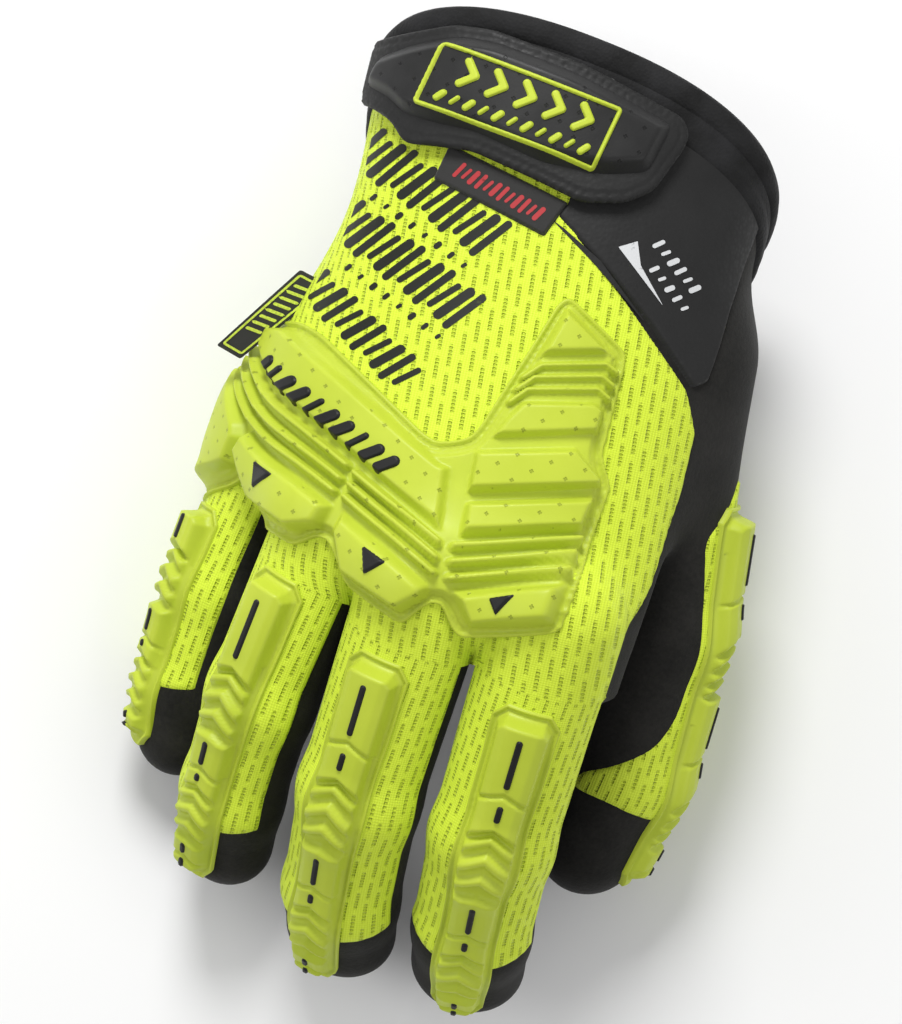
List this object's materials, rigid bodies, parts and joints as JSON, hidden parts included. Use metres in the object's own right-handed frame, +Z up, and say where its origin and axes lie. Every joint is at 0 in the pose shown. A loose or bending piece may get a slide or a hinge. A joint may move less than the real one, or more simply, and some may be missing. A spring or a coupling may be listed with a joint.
{
  "type": "cut resistant work glove",
  "caption": "Right-hand cut and impact resistant work glove, filled out as worn, with moulded back guards, bending finger sleeves and a peel-open wrist strap.",
  "frame": {"origin": "on the surface the glove lies on, under the middle of its bounding box", "axes": "+X to the thumb side, +Y from the fingertips to the cuff, +Z up through the back of the hand"},
  "size_m": [0.1328, 0.2208, 0.0845],
  "materials": {
    "hiviz_knit": "open-texture hi-viz knit",
    "hiviz_rubber": "matte moulded thermoplastic rubber, hi-viz",
    "black_rubber": "matte moulded rubber",
    "black_suede": "synthetic suede, matte",
    "liner_knit": "cut-resistant fibre knit",
    "black_stretch": "stretch binding fabric",
    "black_smooth": "smooth coated fabric",
    "hook_loop": "hook and loop tape",
    "woven_label": "woven label"
  },
  "bodies": {
    "hand": {"back_label": "woven_label", "back_panel": "hiviz_knit", "cuff_band": "black_stretch", "cuff_binding": "black_stretch", "cut_liner": "liner_knit", "knuckle_guard": "hiviz_rubber", "knuckle_inlays": "black_rubber", "loop_patch": "hook_loop", "palm_pads": "black_suede", "palm_panel": "black_suede", "side_label": "woven_label", "thumb_saddle": "black_suede", "thumb_top_guard": "hiviz_rubber", "wrist_wedge": "black_smooth"},
    "strap": {"strap_carrier": "black_smooth", "strap_pad": "black_rubber", "strap_badge": "hiviz_rubber", "hook_patch": "hook_loop"},
    "index_base": {"index_base_guard": "hiviz_rubber", "index_base_inlays": "black_rubber", "index_base_knit": "hiviz_knit", "index_base_palm": "black_suede"},
    "index_middle": {"index_middle_guard": "hiviz_rubber", "index_middle_knit": "hiviz_knit", "index_middle_palm": "black_suede"},
    "index_tip": {"index_tip_cap": "black_suede", "index_tip_guard": "hiviz_rubber"},
    "middle_base": {"middle_base_guard": "hiviz_rubber", "middle_base_inlays": "black_rubber", "middle_base_knit": "hiviz_knit", "middle_base_palm": "black_suede"},
    "middle_middle": {"middle_middle_guard": "hiviz_rubber", "middle_middle_knit": "hiviz_knit", "middle_middle_palm": "black_suede"},
    "middle_tip": {"middle_tip_cap": "black_suede", "middle_tip_guard": "hiviz_rubber"},
    "ring_base": {"ring_base_guard": "hiviz_rubber", "ring_base_inlays": "black_rubber", "ring_base_knit": "hiviz_knit", "ring_base_palm": "black_suede"},
    "ring_middle": {"ring_middle_guard": "hiviz_rubber", "ring_middle_knit": "hiviz_knit", "ring_middle_palm": "black_suede"},
    "ring_tip": {"ring_tip_cap": "black_suede", "ring_tip_guard": "hiviz_rubber"},
    "little_base": {"little_base_guard": "hiviz_rubber", "little_base_inlays": "black_rubber", "little_base_knit": "hiviz_knit", "little_base_palm": "black_suede"},
    "little_middle": {"little_middle_guard": "hiviz_rubber", "little_middle_knit": "hiviz_knit", "little_middle_palm": "black_suede"},
    "little_tip": {"little_tip_cap": "black_suede", "little_tip_guard": "hiviz_rubber"},
    "thumb_base": {"thumb_base_guard": "hiviz_rubber", "thumb_base_knit": "hiviz_knit", "thumb_base_palm": "black_suede"},
    "thumb_tip": {"thumb_tip_cap": "black_suede", "thumb_tip_guard": "hiviz_rubber"}
  },
  "joints": [
    {"name": "index_knuckle_joint", "type": "hinge", "parent": "hand", "child": "index_base", "pos_m": [0.02396, -0.03865, 0.06037], "axis": [0.9785, -0.1115, 0.1736], "range_deg": [-12, 12]},
    {"name": "index_middle_joint", "type": "hinge", "parent": "index_base", "child": "index_middle", "pos_m": [0.02243, -0.06702, 0.05076], "axis": [0.9785, -0.1115, 0.1736], "range_deg": [-16, 20]},
    {"name": "index_tip_joint", "type": "hinge", "parent": "index_middle", "child": "index_tip", "pos_m": [0.02305, -0.09056, 0.03216], "axis": [0.9785, -0.1115, 0.1736], "range_deg": [-9.6, 12]},
    {"name": "middle_knuckle_joint", "type": "hinge", "parent": "hand", "child": "middle_base", "pos_m": [-0.00583, -0.03669, 0.05603], "axis": [0.9527, -0.1594, 0.2588], "range_deg": [-12, 12]},
    {"name": "middle_middle_joint", "type": "hinge", "parent": "middle_base", "child": "middle_middle", "pos_m": [-0.00818, -0.06522, 0.04707], "axis": [0.9527, -0.1594, 0.2588], "range_deg": [-16, 20]},
    {"name": "middle_tip_joint", "type": "hinge", "parent": "middle_middle", "child": "middle_tip", "pos_m": [-0.00737, -0.08933, 0.02923], "axis": [0.9527, -0.1594, 0.2588], "range_deg": [-9.6, 12]},
    {"name": "ring_knuckle_joint", "type": "hinge", "parent": "hand", "child": "ring_base", "pos_m": [-0.03054, -0.02873, 0.04353], "axis": [0.9055, -0.2511, 0.342], "range_deg": [-12, 12]},
    {"name": "ring_middle_joint", "type": "hinge", "parent": "ring_base", "child": "ring_middle", "pos_m": [-0.0345, -0.04979, 0.03852], "axis": [0.9055, -0.2511, 0.342], "range_deg": [-16, 20]},
    {"name": "ring_tip_joint", "type": "hinge", "parent": "ring_middle", "child": "ring_tip", "pos_m": [-0.03642, -0.07285, 0.02668], "axis": [0.9055, -0.2511, 0.342], "range_deg": [-9.6, 12]},
    {"name": "little_knuckle_joint", "type": "hinge", "parent": "hand", "child": "little_base", "pos_m": [-0.04656, -0.01289, 0.01959], "axis": [0.8438, -0.1948, 0.5], "range_deg": [-12, 12]},
    {"name": "little_middle_joint", "type": "hinge", "parent": "little_base", "child": "little_middle", "pos_m": [-0.04965, -0.02956, 0.01831], "axis": [0.8438, -0.1948, 0.5], "range_deg": [-16, 20]},
    {"name": "little_tip_joint", "type": "hinge", "parent": "little_middle", "child": "little_tip", "pos_m": [-0.05206, -0.0529, 0.01328], "axis": [0.8438, -0.1948, 0.5], "range_deg": [-9.6, 12]},
    {"name": "thumb_knuckle_joint", "type": "hinge", "parent": "hand", "child": "thumb_base", "pos_m": [0.04886, -0.01597, 0.02719], "axis": [-0.3843, -0.1736, 0.9067], "range_deg": [-10, 14]},
    {"name": "thumb_tip_joint", "type": "hinge", "parent": "thumb_base", "child": "thumb_tip", "pos_m": [0.04869, -0.04935, 0.02073], "axis": [-0.3843, -0.1736, 0.9067], "range_deg": [-16, 14]},
    {"name": "strap_peel", "type": "hinge", "parent": "hand", "child": "strap", "pos_m": [-0.04579, 0.08697, 0.03362], "axis": [0, -1, 0], "range_deg": [0, 120]}
  ],
  "couplings": [
    {"joint": "index_tip_joint", "follows": "index_middle_joint", "ratio": 0.6},
    {"joint": "middle_tip_joint", "follows": "middle_middle_joint", "ratio": 0.6},
    {"joint": "ring_tip_joint", "follows": "ring_middle_joint", "ratio": 0.6},
    {"joint": "little_tip_joint", "follows": "little_middle_joint", "ratio": 0.6}
  ]
}
